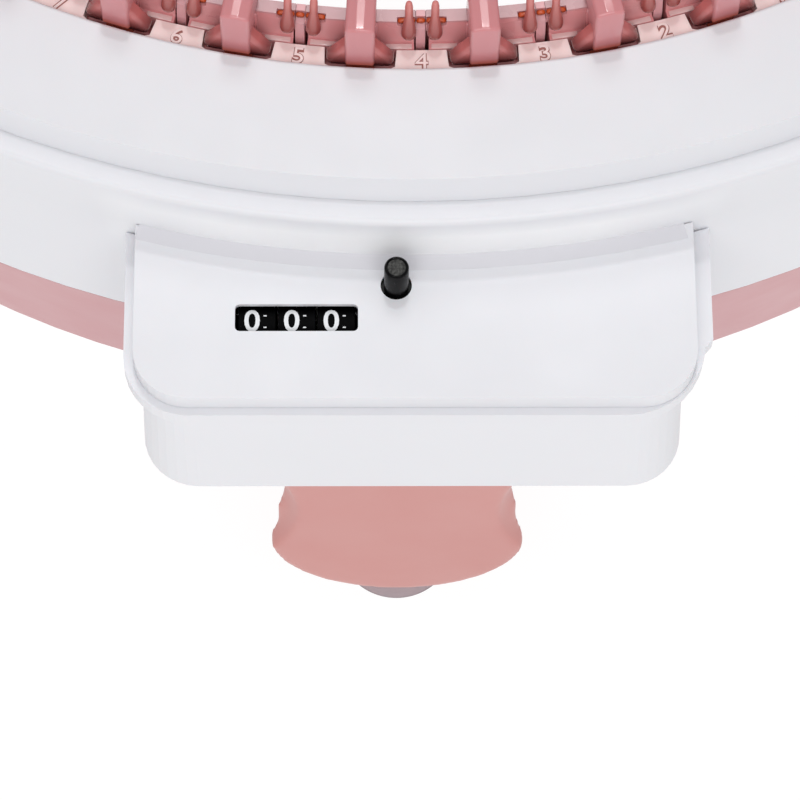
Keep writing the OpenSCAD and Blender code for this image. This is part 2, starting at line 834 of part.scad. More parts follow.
// Needle number n: shank with a shoulder under its thinner head, and the butt that the cam lifts
module needle(n) {
    shank_r = drum_r - 0.2;
    color([0.86, 0.68, 0.67])
        rotate([0, 0, needle_a(n)]) translate([0, needle_y, 0])
            union() {
                rotate([90, 0, 0])
                    linear_extrude(height = needle_w, center = true)
                        polygon([[slot_r + 0.2, slot_low + 0.2], [shank_r, slot_low + 0.2],
                                 [shank_r, lip_low], [drum_r + wall_lean, lip_low],
                                 [drum_r + wall_lean, lip_top], [wall_at(bed_z + 2), bed_z + 2],
                                 [drum_r - notch_d - 0.1, bed_z + 2.5],
                                 [drum_r - notch_d - 0.1, drum_top], [slot_r + 0.2, drum_top]]);
                translate([shank_r - 0.5, -needle_w / 2, butt_z])
                    cube([butt_r - shank_r + 0.5, needle_w, butt_h]);
            }
}

module needles_fixed() {
    for (n = [1:needle_count])
        if (len(search(n, free_needles)) == 0) needle(n);
}

// ---------------------------------------------------------------- yarn parts

// Foot and post beside the feeder
module yarn_post() {
    color([0.91, 0.91, 0.92])
        rotate([0, 0, feeder_a - 9]) translate([150, 0, cover_h - 0.15])
            difference() {
                union() {
                    translate([-5, -7, 0]) cube([10, 14, 3.5]);
                    cylinder(r = 3.5, h = 74);
                    translate([-3.5, -6, 40]) cube([7, 6, 9]);
                }
                translate([0, -4, 44.35]) rotate([0, 90, 0]) cylinder(r = 1.5, h = 20, center = true);
            }
}

module yarn_eyelet() {
    color("silver")
        rotate([0, 0, feeder_a - 9]) translate([150, 0, cover_h + 78.6])
            rotate([90, 0, 0]) rotate_extrude() translate([4, 0]) circle(r = 0.9);
}

// Arm with the hole that lays the yarn before the needles
module yarn_feeder() {
    color([0.83, 0.60, 0.60])
        rotate([0, 0, feeder_a]) translate([0, 0, cover_h - 0.1])
            difference() {
                union() {
                    translate([144, -9, 0]) cube([12, 18, 3.5]);
                    translate([147, -5, 3]) cube([4, 10, 22]);
                    translate([140.6, -5, 19]) cube([10.4, 10, 4]);
                }
                translate([143.6, 0, 15]) cylinder(r = 1.8, h = 12);
            }
}

module tension_lever() {
    color([0.83, 0.60, 0.60])
        rotate([0, 0, feeder_a - 9]) translate([150, -4, cover_h + 44.2])
            difference() {
                union() {
                    translate([3.6, 0, 0]) rotate([0, 90, 0]) cylinder(r = 4, h = 3);
                    translate([3.6, -30, -2]) cube([3, 30, 4]);
                    translate([3.6, -30, 0]) rotate([0, 90, 0]) cylinder(r = 3.2, h = 3);
                }
                translate([3, 0, 0]) rotate([0, 90, 0]) cylinder(r = 1.5 + gap, h = 6);
                translate([3, -30, 0]) rotate([0, 90, 0]) cylinder(r = 1.4, h = 6);
            }
}

module tension_pin() {
    color("silver")
        rotate([0, 0, feeder_a - 9]) translate([150, -4, cover_h + 44.2])
            union() {
                translate([-3.4, 0, 0]) rotate([0, 90, 0]) cylinder(r = 1.5, h = 10.2);
                translate([6.75, 0, 0]) rotate([0, 90, 0]) cylinder(r = 2.6, h = 1.2);
            }
}

module mode_knob() {
    color([0.83, 0.60, 0.60])
        rotate([0, 0, -40]) translate([149, 0, cover_h])
            union() {
                cylinder(r = 7.5, h = 4);
                translate([-6.8, -1.6, 3.5]) cube([13.6, 3.2, 5]);
            }
}

module mode_shaft() {
    color("silver")
        rotate([0, 0, -40]) translate([149, 0, flange_z + flange_t + 0.6])
            cylinder(r = 2.5, h = cover_h - flange_z - flange_t - 0.6);
}

base_shell();
outer_housing();
top_cover();
cam_track();
lift_cam();
glide_ring();
housing_screws();
leg(leg_angles[0]);  // leg_front
leg(leg_angles[1]);  // leg_right
leg(leg_angles[2]);  // leg_back
leg(leg_angles[3]);  // leg_left
leg_screws();
cup(leg_angles[0]);  // cup_front
cup(leg_angles[1]);  // cup_right
cup(leg_angles[2]);  // cup_back
cup(leg_angles[3]);  // cup_left
counter_box();
counter_lid();
box_screws();
counter_frame();
counter_axle();
digit_wheel(2);  // wheel_units
digit_wheel(1);  // wheel_tens
digit_wheel(0);  // wheel_hundreds
transfer_shaft();
carry_pinion(1);  // transfer_pinion_tens
carry_pinion(0);  // transfer_pinion_hundreds
reset_button();
reset_spring();
trip_lever();
lever_pin();
crank_bushing();
shaft_bracket();
crank_shaft();
crank_pinion();
crank_arm();
crank_pin();
crank_knob();
needle_drum();
guide_fingers();
fin_ring();
fins();
number_ring();
drum_gear();
row_lug();
needle_band();
needle(2);  // needle_2
needle(3);  // needle_3
needle(4);  // needle_4
needle(5);  // needle_5
needle(6);  // needle_6
needle(7);  // needle_7
needles_fixed();
yarn_post();
yarn_eyelet();
yarn_feeder();
tension_lever();
tension_pin();
mode_knob();
mode_shaft();
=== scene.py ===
"""Looks of the circular knitting machine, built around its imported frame.

Metres, +Z up, front towards -Y. The ring stands about the Z axis.
"""
import json
import math

import bmesh
import bpy
from mathutils import Matrix, Vector

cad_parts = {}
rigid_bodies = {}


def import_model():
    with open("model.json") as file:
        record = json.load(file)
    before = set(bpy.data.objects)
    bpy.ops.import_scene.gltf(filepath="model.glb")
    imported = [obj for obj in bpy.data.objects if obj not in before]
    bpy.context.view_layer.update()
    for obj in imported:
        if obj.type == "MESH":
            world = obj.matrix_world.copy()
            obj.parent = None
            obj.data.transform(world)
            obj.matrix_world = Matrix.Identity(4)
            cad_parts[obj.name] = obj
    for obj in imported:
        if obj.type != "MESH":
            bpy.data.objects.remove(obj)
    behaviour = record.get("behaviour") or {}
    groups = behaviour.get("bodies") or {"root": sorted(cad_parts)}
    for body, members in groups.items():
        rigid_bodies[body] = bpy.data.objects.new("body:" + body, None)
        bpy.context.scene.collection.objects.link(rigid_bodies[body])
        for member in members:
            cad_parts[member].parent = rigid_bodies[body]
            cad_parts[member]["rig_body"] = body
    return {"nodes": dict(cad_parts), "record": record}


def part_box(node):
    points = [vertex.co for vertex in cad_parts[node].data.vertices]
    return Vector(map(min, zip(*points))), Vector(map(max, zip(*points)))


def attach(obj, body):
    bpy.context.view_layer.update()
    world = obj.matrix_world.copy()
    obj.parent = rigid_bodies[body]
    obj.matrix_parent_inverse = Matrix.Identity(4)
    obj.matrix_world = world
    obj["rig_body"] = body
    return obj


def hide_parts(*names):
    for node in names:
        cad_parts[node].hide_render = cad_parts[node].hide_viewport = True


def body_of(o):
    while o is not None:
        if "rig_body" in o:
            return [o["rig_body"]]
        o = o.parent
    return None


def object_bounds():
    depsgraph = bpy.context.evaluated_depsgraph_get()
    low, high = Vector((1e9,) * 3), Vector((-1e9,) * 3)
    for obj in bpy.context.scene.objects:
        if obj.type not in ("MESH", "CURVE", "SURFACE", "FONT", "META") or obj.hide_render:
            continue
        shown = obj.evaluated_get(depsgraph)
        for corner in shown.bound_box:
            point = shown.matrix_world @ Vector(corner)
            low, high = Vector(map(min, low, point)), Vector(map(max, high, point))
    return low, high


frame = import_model()
nodes = frame["nodes"]
cad_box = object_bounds()
MM = 0.001
FRONT = -math.pi / 2

# ---------------------------------------------------------------- camera and light

CAMERA_PLACE = Vector((-7.7, -409.1, 586.6)) * MM
CAMERA_YAW = math.radians(1.56)
CAMERA_DOWN = math.radians(66.43)
CAMERA_ROLL = math.radians(1.37)
CAMERA_LENS = 174.3
CAMERA_SENSOR = 36
CAMERA_NEAR, CAMERA_FAR = 0.02, 60
SKY_COLOUR = (0.985, 0.985, 1, 1)
SKY = 0.4
# name, azimuth, height above the horizon, distance, size, radiance
LAMPS = (
    ("key_box", 90, 77, 1.9, (0.12, 0.12), 86),
    ("back_box", 90, 64, 1.9, (0.5, 0.5), 4.2),
    ("front_box", -90, 50, 1.8, (1.6, 0.9), 3.25),
)
FLOOR_HALF = 7
FLOOR_GREY = 0.15
FLOOR_GLOW = 0.9


def make_camera():
    """Close view of the front, looking steeply down over the counter box."""
    forward = Vector((math.sin(CAMERA_YAW) * math.cos(CAMERA_DOWN),
                      math.cos(CAMERA_YAW) * math.cos(CAMERA_DOWN),
                      -math.sin(CAMERA_DOWN)))
    level = Vector((math.cos(CAMERA_YAW), -math.sin(CAMERA_YAW), 0))
    up = level.cross(forward)
    right = level * math.cos(CAMERA_ROLL) + up * math.sin(CAMERA_ROLL)
    over = up * math.cos(CAMERA_ROLL) - level * math.sin(CAMERA_ROLL)
    turn = Matrix((right, over, -forward)).transposed()
    data = bpy.data.cameras.new("camera")
    data.lens = CAMERA_LENS
    data.sensor_width = CAMERA_SENSOR
    data.clip_start = CAMERA_NEAR
    data.clip_end = CAMERA_FAR
    camera = bpy.data.objects.new("camera", data)
    camera.matrix_world = Matrix.Translation(CAMERA_PLACE) @ turn.to_4x4()
    bpy.context.collection.objects.link(camera)
    bpy.context.scene.camera = camera


def soft_box(name, azimuth, height, distance, size, radiance):
    """Rectangular lamp that faces the bed; azimuth and height are in degrees."""
    data = bpy.data.lights.new(name, "AREA")
    data.shape = "RECTANGLE"
    data.size, data.size_y = size
    data.energy = radiance * math.pi * size[0] * size[1]
    turn, rise = math.radians(azimuth), math.radians(height)
    aim = Vector((math.cos(turn) * math.cos(rise), math.sin(turn) * math.cos(rise),
                  math.sin(rise)))
    light = bpy.data.objects.new(name, data)
    light.location = aim * distance
    light.rotation_euler = aim.to_track_quat("Z", "Y").to_euler()
    bpy.context.collection.objects.link(light)


def make_studio():
    """White sky, a small high key lamp behind for crisp shadows, and two wider boxes."""
    world = bpy.data.worlds.new("sky")
    world.use_nodes = True
    sky = world.node_tree.nodes["Background"]
    sky.inputs["Color"].default_value = SKY_COLOUR
    sky.inputs["Strength"].default_value = SKY
    bpy.context.scene.world = world
    bpy.context.scene.view_settings.view_transform = "Standard"
    for lamp in LAMPS:
        soft_box(*lamp)


def make_floor():
    """Pale floor that the feet stand on, bright enough to stay white."""
    bm = bmesh.new()
    bmesh.ops.create_grid(bm, x_segments=1, y_segments=1, size=FLOOR_HALF)
    bmesh.ops.translate(bm, verts=bm.verts, vec=(0, 0, cad_box[0].z))
    mesh = bpy.data.meshes.new("floor")
    bm.to_mesh(mesh)
    bm.free()
    floor = bpy.data.objects.new("floor", mesh)
    bpy.context.collection.objects.link(floor)
    material, shader = blank("floor_white")
    shader.inputs["Base Color"].default_value = (FLOOR_GREY, FLOOR_GREY, FLOOR_GREY, 1)
    shader.inputs["Roughness"].default_value = 0.9
    shader.inputs["Specular IOR Level"].default_value = 0.1
    shader.inputs["Emission Color"].default_value = (1, 1, 1, 1)
    shader.inputs["Emission Strength"].default_value = FLOOR_GLOW
    mesh.materials.append(material)


# ---------------------------------------------------------------- materials

NOISE_LOW, NOISE_HIGH = 0.3, 0.7
GLOSS_PATCHES = 90
GRAIN_SCALE = 2600
GRAIN_DEPTH = 0.12 * MM
BRUSH_SCALE = 700
PLASTIC_IOR = 1.5
VINYL_IOR = 1.45
COAT_ROUGH = 0.12
SKIN_RADIUS = (1.0, 0.45, 0.35)
SKIN_DEPTH = 1.2 * MM
WHITE = (232, 232, 236)
# Painted light: a brighter white blended in low on the front of the ring wall, over the lid, to
# lift the shade there.
PAINTED_LIGHT_WHITE = (0.99, 0.99, 1, 1)
PAINTED_LIGHT_FRONT = (-155 * MM, -159.5 * MM)
PAINTED_LIGHT_LOW = (83 * MM, 79 * MM)


def linear(colour):
    """Linear colour of a screen colour given as three numbers from 0 to 255."""
    return tuple((c / 255 / 12.92) if c < 10.3 else ((c / 255 + 0.055) / 1.055) ** 2.4
                 for c in colour)


def blank(name):
    """New material with its shader node."""
    material = bpy.data.materials.new(name)
    material.use_nodes = True
    return material, material.node_tree.nodes["Principled BSDF"]


def colour_mix(tree):
    """Node that mixes two colours, A and B, by a factor."""
    mix = tree.nodes.new("ShaderNodeMix")
    mix.data_type = "RGBA"
    return mix


def noise(tree, scale, detail):
    """Noise in the object's own coordinates."""
    coords = tree.nodes.new("ShaderNodeTexCoord")
    texture = tree.nodes.new("ShaderNodeTexNoise")
    texture.inputs["Scale"].default_value = scale
    texture.inputs["Detail"].default_value = detail
    tree.links.new(coords.outputs["Object"], texture.inputs["Vector"])
    return texture.outputs["Fac"]


def spread(tree, value, low, high):
    """Spreads a noise value over the range from low to high."""
    mapper = tree.nodes.new("ShaderNodeMapRange")
    mapper.inputs["From Min"].default_value = NOISE_LOW
    mapper.inputs["From Max"].default_value = NOISE_HIGH
    mapper.inputs["To Min"].default_value = low
    mapper.inputs["To Max"].default_value = high
    tree.links.new(value, mapper.inputs["Value"])
    return mapper.outputs["Result"]


def ramp(tree, axis, low, high):
    """Value that runs from 0 to 1 between two places along one axis of the object."""
    coords = tree.nodes.new("ShaderNodeTexCoord")
    split = tree.nodes.new("ShaderNodeSeparateXYZ")
    mapper = tree.nodes.new("ShaderNodeMapRange")
    mapper.inputs["From Min"].default_value = low
    mapper.inputs["From Max"].default_value = high
    tree.links.new(coords.outputs["Object"], split.inputs["Vector"])
    tree.links.new(split.outputs[axis], mapper.inputs["Value"])
    return mapper.outputs["Result"]


def height_fade(tree, colour, low_colour, low, high):
    """Colour that changes from low_colour at height low to the given colour at height high."""
    mix = colour_mix(tree)
    mix.inputs["A"].default_value = (*linear(low_colour), 1)
    tree.links.new(ramp(tree, "Z", low, high), mix.inputs["Factor"])
    tree.links.new(colour, mix.inputs["B"])
    return mix.outputs["Result"]


def moulded(name, colour, rough=0.35, grain=0.04, tone=0.03, skin=0.0, coat=0.0, gloss=0.5,
            cloud=22, fade=None):
    """Moulded plastic: cloudy colour, uneven gloss and a fine grain.

    tone is how much the colour varies and cloud how finely. skin is the light let through,
    and fade holds a colour for the foot with the two heights it fades between.
    """
    material, shader = blank(name)
    tree = material.node_tree
    mix = colour_mix(tree)
    base = linear(colour)
    mix.inputs["A"].default_value = (*[c * (1 - tone) for c in base], 1)
    mix.inputs["B"].default_value = (*[min(1, c * (1 + tone)) for c in base], 1)
    tree.links.new(spread(tree, noise(tree, cloud, 3), 0, 1), mix.inputs["Factor"])
    shade = mix.outputs["Result"]
    if fade:
        shade = height_fade(tree, shade, *fade)
    tree.links.new(shade, shader.inputs["Base Color"])
    tree.links.new(spread(tree, noise(tree, GLOSS_PATCHES, 4), rough - 0.04, rough + 0.05),
                   shader.inputs["Roughness"])
    bump = tree.nodes.new("ShaderNodeBump")
    bump.inputs["Strength"].default_value = grain
    bump.inputs["Distance"].default_value = GRAIN_DEPTH
    tree.links.new(noise(tree, GRAIN_SCALE, 3), bump.inputs["Height"])
    tree.links.new(bump.outputs["Normal"], shader.inputs["Normal"])
    shader.inputs["IOR"].default_value = PLASTIC_IOR
    shader.inputs["Specular IOR Level"].default_value = gloss
    shader.inputs["Coat Weight"].default_value = coat
    shader.inputs["Coat Roughness"].default_value = COAT_ROUGH
    if skin:
        shader.inputs["Subsurface Weight"].default_value = skin
        shader.inputs["Subsurface Radius"].default_value = SKIN_RADIUS
        shader.inputs["Subsurface Scale"].default_value = SKIN_DEPTH
    return material


def metal(name, colour, rough):
    """Bright metal with an uneven polish."""
    material, shader = blank(name)
    tree = material.node_tree
    shader.inputs["Base Color"].default_value = (*linear(colour), 1)
    shader.inputs["Metallic"].default_value = 1
    tree.links.new(spread(tree, noise(tree, BRUSH_SCALE, 5), rough - 0.06, rough + 0.08),
                   shader.inputs["Roughness"])
    return material


def white_plastic(name):
    """Satin white of the shell."""
    return moulded(name, WHITE, 0.42, 0.05, 0.008, skin=0.06)


def clean_wall(name):
    """White shell with painted light low on its front, where the wall stands over the lid: a
    brighter white there lifts the shade that falls on the wall near the lid.
    """
    material = white_plastic(name)
    tree = material.node_tree
    base = tree.nodes["Principled BSDF"].inputs["Base Color"]
    both = tree.nodes.new("ShaderNodeMath")
    both.operation = "MULTIPLY"
    mix = colour_mix(tree)
    mix.inputs["B"].default_value = PAINTED_LIGHT_WHITE
    tree.links.new(ramp(tree, "Y", *PAINTED_LIGHT_FRONT), both.inputs[0])
    tree.links.new(ramp(tree, "Z", *PAINTED_LIGHT_LOW), both.inputs[1])
    tree.links.new(both.outputs["Value"], mix.inputs["Factor"])
    tree.links.new(base.links[0].from_socket, mix.inputs["A"])
    tree.links.new(mix.outputs["Result"], base)
    return material


def vinyl(name):
    """Clear grey vinyl of the suction cups."""
    material = moulded(name, (198, 182, 186), 0.18, 0.02, 0.02)
    shader = material.node_tree.nodes["Principled BSDF"]
    shader.inputs["Transmission Weight"].default_value = 0.45
    shader.inputs["IOR"].default_value = VINYL_IOR
    return material


LOOKS = {
    "white_shell": white_plastic("white_shell"),
    "pink_shell": moulded("pink_shell", (204, 144, 148), 0.40, 0.06, 0.015),
    "pink_leg": moulded("pink_leg", (207, 140, 134), 0.38, 0.06, 0.015),
    "pink_trim": moulded("pink_trim", (213, 152, 153), 0.36, 0.05, 0.015),
    "rose_bed": moulded("rose_bed", (212, 135, 137), 0.22, 0.02, 0.02, skin=0.12, coat=0.4),
    # number_plates: the plates' own pale colour, made paler still as painted light that lifts the
    # shade the fins cast on them.
    "number_plates": moulded("number_plates", (250, 224, 221), 0.40, 0.04, 0.012, skin=0.1),
    "needle_plastic": moulded("needle_plastic", (232, 174, 178), 0.30, 0.03, 0.015, skin=0.12),
    "grey_plastic": moulded("grey_plastic", (186, 186, 190), 0.45, 0.05, 0.02),
    "nylon": moulded("nylon", (224, 223, 217), 0.45, 0.05, 0.02, skin=0.08),
    "black_plastic": moulded("black_plastic", (3, 3, 4), 0.45, 0.05, 0.05, gloss=0.03),
    "steel": metal("steel", (196, 198, 202), 0.30),
    "elastic": moulded("elastic", (32, 32, 34), 0.8, 0.3, 0.1),
    "cup_vinyl": vinyl("cup_vinyl"),
}
FIGURE_WHITE = moulded("figure_white", (236, 238, 240), 0.5, 0.02, 0.01)
BUTTON_GRIT = moulded("button_grit", (62, 62, 60), 0.7, 1.0, 0.85, gloss=0.4, cloud=2400)
BUTTON_GLOSS = moulded("button_gloss", (5, 5, 6), 0.28, 0.02, 0.05, gloss=0.12)
# Painted shadow: the grey of the strip along the lid's back edge stands in for the shade the ring
# wall casts on the lid.
SEAM_PAINTED_SHADOW = moulded("seam_painted_shadow", (222, 221, 226), 0.42, 0.05, 0.008)
# Painted shade: the dark brown flank under each raised needle number stands in for the shade along
# the figure's edges.
FIGURE_EDGE_SHADE = moulded("figure_edge_shade", (158, 96, 88), 0.5, 0.02, 0.01)


# ---------------------------------------------------------------- mesh tools

def add_piece(name, mesh, slot, body, material=None, sharp=40):
    """Puts a mesh in the scene, shades it and joins it to its body."""
    mesh.materials.clear()
    mesh.materials.append(material or LOOKS[slot])
    mesh.shade_smooth()
    mesh.set_sharp_from_angle(angle=math.radians(sharp))
    piece = bpy.data.objects.new(name, mesh)
    bpy.context.collection.objects.link(piece)
    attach(piece, body)
    return piece


def mesh_from(bm, name):
    """Mesh of a bmesh, which is freed, with its faces turned outwards."""
    mesh = bpy.data.meshes.new(name)
    bmesh.ops.recalc_face_normals(bm, faces=bm.faces)
    bm.to_mesh(mesh)
    bm.free()
    return mesh


def repeated(mesh, turns, name):
    """One mesh with a copy of mesh at each turn about the ring axis."""
    whole = bmesh.new()
    for turn in turns:
        part = mesh.copy()
        part.transform(Matrix.Rotation(turn, 4, "Z"))
        whole.from_mesh(part)
        bpy.data.meshes.remove(part)
    joined = bpy.data.meshes.new(name)
    whole.to_mesh(joined)
    whole.free()
    return joined


def skin_over(bm, rings):
    """Joins each ring of vertices to the next with a band of faces."""
    for here, there in zip(rings, rings[1:]):
        for k in range(len(here)):
            m = (k + 1) % len(here)
            bm.faces.new((here[k], there[k], there[m], here[m]))


def cap_ends(bm, rings):
    """Closes the first and the last ring."""
    bm.faces.new(rings[0][::-1])
    bm.faces.new(rings[-1])


def upright_slab(outline, half):
    """Solid from an outline of (radius, height) points and its half thickness."""
    bm = bmesh.new()
    rings = [[bm.verts.new((u, w, v)) for u, v in outline] for w in (-half, half)]
    skin_over(bm, rings)
    cap_ends(bm, rings)
    bmesh.ops.recalc_face_normals(bm, faces=bm.faces)
    return bm


def arc(centre, radius, start, stop, steps):
    """Points of an arc, with its angles in degrees."""
    turns = [math.radians(start + (stop - start) * i / steps) for i in range(steps + 1)]
    return [(centre[0] + radius * math.cos(t), centre[1] + radius * math.sin(t)) for t in turns]


def swept(profile, turns, centre=(0, 0, 0)):
    """Vertices of a closed outline of (radius, height) points at each turn about an axis."""
    bm = bmesh.new()
    rings = [[bm.verts.new((centre[0] + r * math.cos(t), centre[1] + r * math.sin(t),
                            centre[2] + z)) for r, z in profile] for t in turns]
    return bm, rings


def lathe(profile, steps, centre):
    """Solid of a closed outline of (radius, height) points turned about a vertical axis."""
    bm, rings = swept(profile, [2 * math.pi * i / steps for i in range(steps)], centre)
    skin_over(bm, rings + rings[:1])
    bmesh.ops.remove_doubles(bm, verts=bm.verts, dist=1e-7)
    return bm


def corners(points):
    """Each point of a closed outline with the one before it and the one after it."""
    count = len(points)
    for i in range(count):
        yield tuple(Vector(points[k % count]) for k in (i - 1, i, i + 1))


def inset(outline, by):
    """Convex anticlockwise outline moved inwards by a distance."""
    moved = []
    for before, here, after in corners(outline):
        first, second = (here - before).normalized(), (after - here).normalized()
        normal_1, normal_2 = Vector((-first.y, first.x)), Vector((-second.y, second.x))
        lean = (normal_1 + normal_2).normalized()
        moved.append(here + lean * by / max(0.5, lean.dot(normal_1)))
    return moved


def fillet(points, radius, steps=4):
    """Convex anticlockwise outline with every corner rounded."""
    smooth = []
    for before, here, after in corners(points):
        first, second = (before - here).normalized(), (after - here).normalized()
        half = math.acos(max(-1, min(1, first.dot(second)))) / 2
        reach = min(radius / math.tan(half), (before - here).length * 0.45,
                    (after - here).length * 0.45)
        start, end = here + first * reach, here + second * reach
        for k in range(steps + 1):
            t = k / steps
            smooth.append(start * (1 - t) ** 2 + here * 2 * t * (1 - t) + end * t ** 2)
    return smooth


def quarter(end, radius, inwards, steps):
    """Stations of a rounded end: how far along each lies and how far in its outline is moved."""
    turns = [math.pi / 2 * i / steps for i in range(steps + 1)]
    return [(end + inwards * radius * (1 - math.sin(t)), radius * (1 - math.cos(t)))
            for t in turns]


def rounded_bar(outline, back, front, round_back, round_front, steps=5):
    """Bar of (tangent, height) points from one radius to another, with rounded end edges."""
    stations = quarter(back, round_back, 1, steps)[::-1] + quarter(front, round_front, -1, steps)
    bm = bmesh.new()
    rings = [[bm.verts.new((u, p[0], p[1])) for p in inset(outline, by)] for u, by in stations]
    skin_over(bm, rings)
    cap_ends(bm, rings)
    bmesh.ops.recalc_face_normals(bm, faces=bm.faces)
    return bm


# ---------------------------------------------------------------- needle bed

NEEDLES = 48
PITCH = 2 * math.pi / NEEDLES
NEEDLE_SIDE = -0.15 * MM
MOVING_NEEDLES = range(2, 8)
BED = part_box("top_cover")[1].z
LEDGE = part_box("needle_drum")[1].z
DRUM_R = 134.4 * MM
LIP_TOP = BED - 1.5 * MM
LIP_R = 136.0 * MM
WALL_LEAN = 0.6 * MM
PLATE_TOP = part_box("number_ring")[1].z
FIN_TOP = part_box("fins")[1].z
FIN_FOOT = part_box("fins")[0].z
FIN_LOW = BED - 1.4 * MM
FIN_FRONT = 139.1 * MM
FIN_BACK = 131.3 * MM
FIN_HALF = 2.17 * MM
RIDGE_HALF = 0.58 * MM
RIDGE_LEAN = 15
GUSSET_TOP = BED + 3.6 * MM
GUSSET_WIDEST = BED - 0.9 * MM
GUSSET_LOW = BED - 2.15 * MM
GUSSET_FOOT = BED - 2.3 * MM
ROOT_HALF = 2.4 * MM
FINGER_TIP = Vector((DRUM_R - 0.5 * MM, BED + 8.25 * MM))
FINGER_FOOT = Vector((DRUM_R + 0.7 * MM, BED + 1.85 * MM))
FINGER_RADII = (0.50 * MM, 0.60 * MM, 1.15 * MM)
FINGER_APART = 1.9 * MM
GLOW_BAR_HALF = 0.44 * MM
GLOW_BAR_END = 3.54 * MM
SHANK_GAP = 0.78 * MM
SHANK_HALF = 0.66 * MM
PAD_SIDES = (1.45 * MM, 5.2 * MM)
PAD_H = 0.16 * MM
FIGURE_R = 138.0 * MM
FIGURE_H = 2.6 * MM
FIGURE_WIDEN = 1.08

# Painted reflection and light: the drum's wall is a paler rose for painted light on it, and its
# ledge top turns greyer for a painted hazy sheen of the sky.
DRUM_ROSE_PAINTED_SHEEN = moulded("drum_rose_painted_sheen", (194, 147, 151), 0.28, 0.03, 0.02, skin=0.12, coat=0.3,
                    fade=((226, 154, 156), LEDGE - 0.5 * MM, LEDGE))
# Painted glow: each fin fades to orange toward its foot for light let through the plastic there.
FIN_ROSE_PAINTED_GLOW = moulded("fin_rose_painted_glow", (212, 138, 141), 0.22, 0.02, 0.02, skin=0.12, coat=0.4,
                   fade=((218, 108, 80), FIN_LOW, BED + 0.4 * MM))
# Painted shade: the gussets are the fins' own plastic in a darker copy for the shade on their
# sideways faces, fading nearly to black toward their foot.
WING_ROSE_PAINTED_SHADE = moulded("wing_rose_painted_shade", (198, 112, 110), 0.18, 0.02, 0.03, skin=0.1, coat=0.5,
                    fade=((64, 12, 16), BED - 1.5 * MM, BED + 1.6 * MM))
# Painted shade: each finger darkens toward its swollen foot.
FINGER_ROSE_PAINTED_SHADE = moulded("finger_rose_painted_shade", (216, 132, 126), 0.18, 0.02, 0.03, skin=0.1, coat=0.5,
                      fade=((152, 74, 70), BED + 1.6 * MM, BED + 7.5 * MM))
# Painted light: the pale pads at the foot of the wall stand in for the light caught on the strip
# there.
LIP_ROSE_PAINTED_LIGHT = moulded("lip_rose_painted_light", (234, 198, 196), 0.30, 0.03, 0.02, skin=0.1, coat=0.2)
# Painted glow and shade: the bars in the cross slots are orange for light let through the plastic,
# darkening to painted shade at their foot.
NOTCH_PAINTED_GLOW = moulded("notch_lining", (196, 78, 30), 0.30, 0.03, 0.05,
                       fade=((84, 20, 16), LEDGE - 0.9 * MM, LEDGE - 0.2 * MM))


def needle_turn(number):
    """Azimuth of a numbered needle, from where needle 4 stands in the frame."""
    low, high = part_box("needle_4")
    middle = (low + high) / 2
    turn = math.atan2(middle.y, middle.x) - NEEDLE_SIDE / math.hypot(middle.x, middle.y)
    return turn - (number - 4) * PITCH


NEEDLE_TURNS = [needle_turn(n) for n in range(1, NEEDLES + 1)]
FIN_TURNS = [t + PITCH / 2 for t in NEEDLE_TURNS]


def wall_at(height):
    """Radius of the leaning drum wall."""
    return DRUM_R + WALL_LEAN * (LEDGE - height) / (LEDGE - LIP_TOP)


def ridged(half, low, top, flat, lean, corner, foot):
    """Upright outline: flat ridge between two slopes, rounded shoulders, small foot corners."""
    side = half - corner
    slope = math.tan(math.radians(lean))
    shoulder = (top - (side + corner * math.sin(math.radians(lean)) - flat) * slope
                - corner * math.cos(math.radians(lean)))
    slopes = [(flat + step, top - step * slope) for step in (0.16 * MM, 0.05 * MM)]
    crest = slopes + [(flat - 0.04 * MM, top), (flat - 0.14 * MM, top)]
    return (arc((side, shoulder), corner, 0, 90 - lean, 5)
            + crest + [(-u, v) for u, v in crest[::-1]]
            + arc((-side, shoulder), corner, 90 + lean, 180, 5)
            + arc((foot - half, low + foot), foot, 180, 270, 3)
            + arc((half - foot, low + foot), foot, 270, 360, 3))


